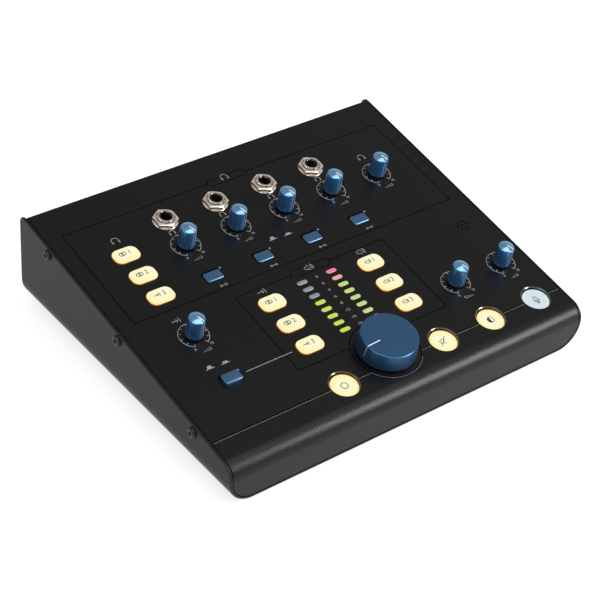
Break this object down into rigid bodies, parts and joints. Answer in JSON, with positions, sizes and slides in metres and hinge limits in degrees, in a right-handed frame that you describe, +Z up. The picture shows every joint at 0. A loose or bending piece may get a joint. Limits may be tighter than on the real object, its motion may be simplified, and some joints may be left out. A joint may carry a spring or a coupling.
{
  "type": "studio monitor controller",
  "caption": "Desktop studio monitor controller: sloping panel with a large volume knob, small level knobs, lit source buttons, a bar meter and headphone jacks, in a bent-sheet tray.",
  "frame": {"origin": "centre of the bounding box in plan, on the surface under the feet", "axes": "+X to the right, +Y to the back, away from the user, +Z up"},
  "size_m": [0.232, 0.1948, 0.0616],
  "materials": {
    "tray_paint": "satin",
    "cover_paint": "fine texture",
    "black_screws": "satin",
    "steel_screws": "satin",
    "foot_rubber": "matte",
    "board": "satin",
    "spacer_metal": "satin",
    "jack_plastic": "satin",
    "nickel": "polished",
    "pot_metal": "satin",
    "switch_plastic": "satin",
    "small_knob_blue": "glossy",
    "main_knob_blue": "satin",
    "lit_cap": "translucent",
    "white_cap": "translucent",
    "blue_cap": "glossy",
    "bezel_black": "glossy",
    "meter_black": "matte",
    "led_green": "translucent",
    "led_red": "translucent",
    "led_off": "translucent",
    "capsule_metal": "satin",
    "ribbon_grey": "satin"
  },
  "bodies": {
    "casing": {"outer_tray": "tray_paint", "top_cover": "cover_paint", "rear_panel": "cover_paint", "side_screws": "black_screws", "bottom_screws": "black_screws", "rubber_feet": "foot_rubber", "control_board": "board", "headphone_board": "board", "connector_board": "board", "panel_standoffs": "spacer_metal", "floor_standoffs": "spacer_metal", "board_screws": "steel_screws", "headphone_jacks": "jack_plastic", "jack_nuts": "nickel", "jack_washers": "nickel", "small_potentiometers": "pot_metal", "main_potentiometer": "pot_metal", "square_switches": "switch_plastic", "round_switches": "switch_plastic", "latching_switches": "switch_plastic", "meter_housing": "meter_black", "meter_leds_green": "led_green", "meter_leds_red": "led_red", "meter_leds_off": "led_off", "talkback_microphone": "capsule_metal", "round_button_bezels": "bezel_black", "rear_jacks": "jack_plastic", "rca_sockets": "nickel", "power_inlet": "jack_plastic", "power_switch": "switch_plastic", "ribbon_cables": "ribbon_grey", "ribbon_headers": "switch_plastic"},
    "main_knob": {"main_knob": "main_knob_blue"},
    "cue_knob_1": {"cue_knob_1": "small_knob_blue"},
    "cue_knob_2": {"cue_knob_2": "small_knob_blue"},
    "cue_knob_3": {"cue_knob_3": "small_knob_blue"},
    "cue_knob_4": {"cue_knob_4": "small_knob_blue"},
    "cue_output_knob": {"cue_output_knob": "small_knob_blue"},
    "aux_level_knob": {"aux_level_knob": "small_knob_blue"},
    "talk_attenuation_knob": {"talk_attenuation_knob": "small_knob_blue"},
    "talk_level_knob": {"talk_level_knob": "small_knob_blue"},
    "cue_source_button_1": {"cue_source_button_1": "lit_cap"},
    "main_source_button_1": {"main_source_button_1": "lit_cap"},
    "speaker_button_1": {"speaker_button_1": "lit_cap"},
    "cue_source_button_2": {"cue_source_button_2": "lit_cap"},
    "main_source_button_2": {"main_source_button_2": "lit_cap"},
    "speaker_button_2": {"speaker_button_2": "lit_cap"},
    "cue_source_button_3": {"cue_source_button_3": "lit_cap"},
    "main_source_button_3": {"main_source_button_3": "lit_cap"},
    "speaker_button_3": {"speaker_button_3": "lit_cap"},
    "mono_button": {"mono_button": "white_cap"},
    "mute_button": {"mute_button": "white_cap"},
    "dim_button": {"dim_button": "white_cap"},
    "talk_button": {"talk_button": "white_cap"},
    "cue_switch_button_1": {"cue_switch_button_1": "blue_cap"},
    "cue_switch_button_2": {"cue_switch_button_2": "blue_cap"},
    "cue_switch_button_3": {"cue_switch_button_3": "blue_cap"},
    "cue_switch_button_4": {"cue_switch_button_4": "blue_cap"},
    "aux_switch_button": {"aux_switch_button": "blue_cap"},
    "power_rocker": {"power_rocker": "switch_plastic"}
  },
  "joints": [
    {"name": "main_knob_turn", "type": "hinge", "parent": "casing", "child": "main_knob", "pos_m": [0, -0.07035, 0.03018], "axis": [0, -0.1702, 0.9854], "range_deg": [-240, 60]},
    {"name": "cue_knob_1_turn", "type": "hinge", "parent": "casing", "child": "cue_knob_1", "pos_m": [-0.0493, 0.03538, 0.04844], "axis": [0, -0.1702, 0.9854], "range_deg": [0, 300]},
    {"name": "cue_knob_2_turn", "type": "hinge", "parent": "casing", "child": "cue_knob_2", "pos_m": [-0.0173, 0.03538, 0.04844], "axis": [0, -0.1702, 0.9854], "range_deg": [0, 300]},
    {"name": "cue_knob_3_turn", "type": "hinge", "parent": "casing", "child": "cue_knob_3", "pos_m": [0.0147, 0.03538, 0.04844], "axis": [0, -0.1702, 0.9854], "range_deg": [0, 300]},
    {"name": "cue_knob_4_turn", "type": "hinge", "parent": "casing", "child": "cue_knob_4", "pos_m": [0.0467, 0.03538, 0.04844], "axis": [0, -0.1702, 0.9854], "range_deg": [0, 300]},
    {"name": "cue_output_knob_turn", "type": "hinge", "parent": "casing", "child": "cue_output_knob", "pos_m": [0.0787, 0.03538, 0.04844], "axis": [0, -0.1702, 0.9854], "range_deg": [0, 300]},
    {"name": "aux_level_knob_turn", "type": "hinge", "parent": "casing", "child": "aux_level_knob", "pos_m": [-0.0814, -0.01862, 0.03911], "axis": [0, -0.1702, 0.9854], "range_deg": [0, 300]},
    {"name": "talk_attenuation_knob_turn", "type": "hinge", "parent": "casing", "child": "talk_attenuation_knob", "pos_m": [0.06405, -0.05044, 0.03362], "axis": [0, -0.1702, 0.9854], "range_deg": [0, 300]},
    {"name": "talk_level_knob_turn", "type": "hinge", "parent": "casing", "child": "talk_level_knob", "pos_m": [0.0964, -0.05044, 0.03362], "axis": [0, -0.1702, 0.9854], "range_deg": [0, 300]},
    {"name": "cue_source_button_1_press", "type": "slide", "parent": "casing", "child": "cue_source_button_1", "axis": [0, 0.1702, -0.9854], "range_m": [0, 0.001], "stiffness_N_per_m": 600, "springref_m": -0.0005},
    {"name": "main_source_button_1_press", "type": "slide", "parent": "casing", "child": "main_source_button_1", "axis": [0, 0.1702, -0.9854], "range_m": [0, 0.001], "stiffness_N_per_m": 600, "springref_m": -0.0005},
    {"name": "speaker_button_1_press", "type": "slide", "parent": "casing", "child": "speaker_button_1", "axis": [0, 0.1702, -0.9854], "range_m": [0, 0.001], "stiffness_N_per_m": 600, "springref_m": -0.0005},
    {"name": "cue_source_button_2_press", "type": "slide", "parent": "casing", "child": "cue_source_button_2", "axis": [0, 0.1702, -0.9854], "range_m": [0, 0.001], "stiffness_N_per_m": 600, "springref_m": -0.0005},
    {"name": "main_source_button_2_press", "type": "slide", "parent": "casing", "child": "main_source_button_2", "axis": [0, 0.1702, -0.9854], "range_m": [0, 0.001], "stiffness_N_per_m": 600, "springref_m": -0.0005},
    {"name": "speaker_button_2_press", "type": "slide", "parent": "casing", "child": "speaker_button_2", "axis": [0, 0.1702, -0.9854], "range_m": [0, 0.001], "stiffness_N_per_m": 600, "springref_m": -0.0005},
    {"name": "cue_source_button_3_press", "type": "slide", "parent": "casing", "child": "cue_source_button_3", "axis": [0, 0.1702, -0.9854], "range_m": [0, 0.001], "stiffness_N_per_m": 600, "springref_m": -0.0005},
    {"name": "main_source_button_3_press", "type": "slide", "parent": "casing", "child": "main_source_button_3", "axis": [0, 0.1702, -0.9854], "range_m": [0, 0.001], "stiffness_N_per_m": 600, "springref_m": -0.0005},
    {"name": "speaker_button_3_press", "type": "slide", "parent": "casing", "child": "speaker_button_3", "axis": [0, 0.1702, -0.9854], "range_m": [0, 0.001], "stiffness_N_per_m": 600, "springref_m": -0.0005},
    {"name": "mono_button_press", "type": "slide", "parent": "casing", "child": "mono_button", "axis": [0, 0.1702, -0.9854], "range_m": [0, 0.001], "stiffness_N_per_m": 600, "springref_m": -0.0005},
    {"name": "mute_button_press", "type": "slide", "parent": "casing", "child": "mute_button", "axis": [0, 0.1702, -0.9854], "range_m": [0, 0.001], "stiffness_N_per_m": 600, "springref_m": -0.0005},
    {"name": "dim_button_press", "type": "slide", "parent": "casing", "child": "dim_button", "axis": [0, 0.1702, -0.9854], "range_m": [0, 0.001], "stiffness_N_per_m": 600, "springref_m": -0.0005},
    {"name": "talk_button_press", "type": "slide", "parent": "casing", "child": "talk_button", "axis": [0, 0.1702, -0.9854], "range_m": [0, 0.001], "stiffness_N_per_m": 600, "springref_m": -0.0005},
    {"name": "cue_switch_button_1_release", "type": "slide", "parent": "casing", "child": "cue_switch_button_1", "axis": [0, -0.1702, 0.9854], "range_m": [0, 0.0016]},
    {"name": "cue_switch_button_2_release", "type": "slide", "parent": "casing", "child": "cue_switch_button_2", "axis": [0, -0.1702, 0.9854], "range_m": [0, 0.0016]},
    {"name": "cue_switch_button_3_release", "type": "slide", "parent": "casing", "child": "cue_switch_button_3", "axis": [0, -0.1702, 0.9854], "range_m": [0, 0.0016]},
    {"name": "cue_switch_button_4_release", "type": "slide", "parent": "casing", "child": "cue_switch_button_4", "axis": [0, -0.1702, 0.9854], "range_m": [0, 0.0016]},
    {"name": "aux_switch_button_press", "type": "slide", "parent": "casing", "child": "aux_switch_button", "axis": [0, 0.1702, -0.9854], "range_m": [0, 0.0016], "stiffness_N_per_m": 500, "springref_m": -0.0005},
    {"name": "power_rocker_tilt", "type": "hinge", "parent": "casing", "child": "power_rocker", "pos_m": [0.086, 0.0884, 0.039], "axis": [1, 0, 0], "range_deg": [0, 24]}
  ]
}
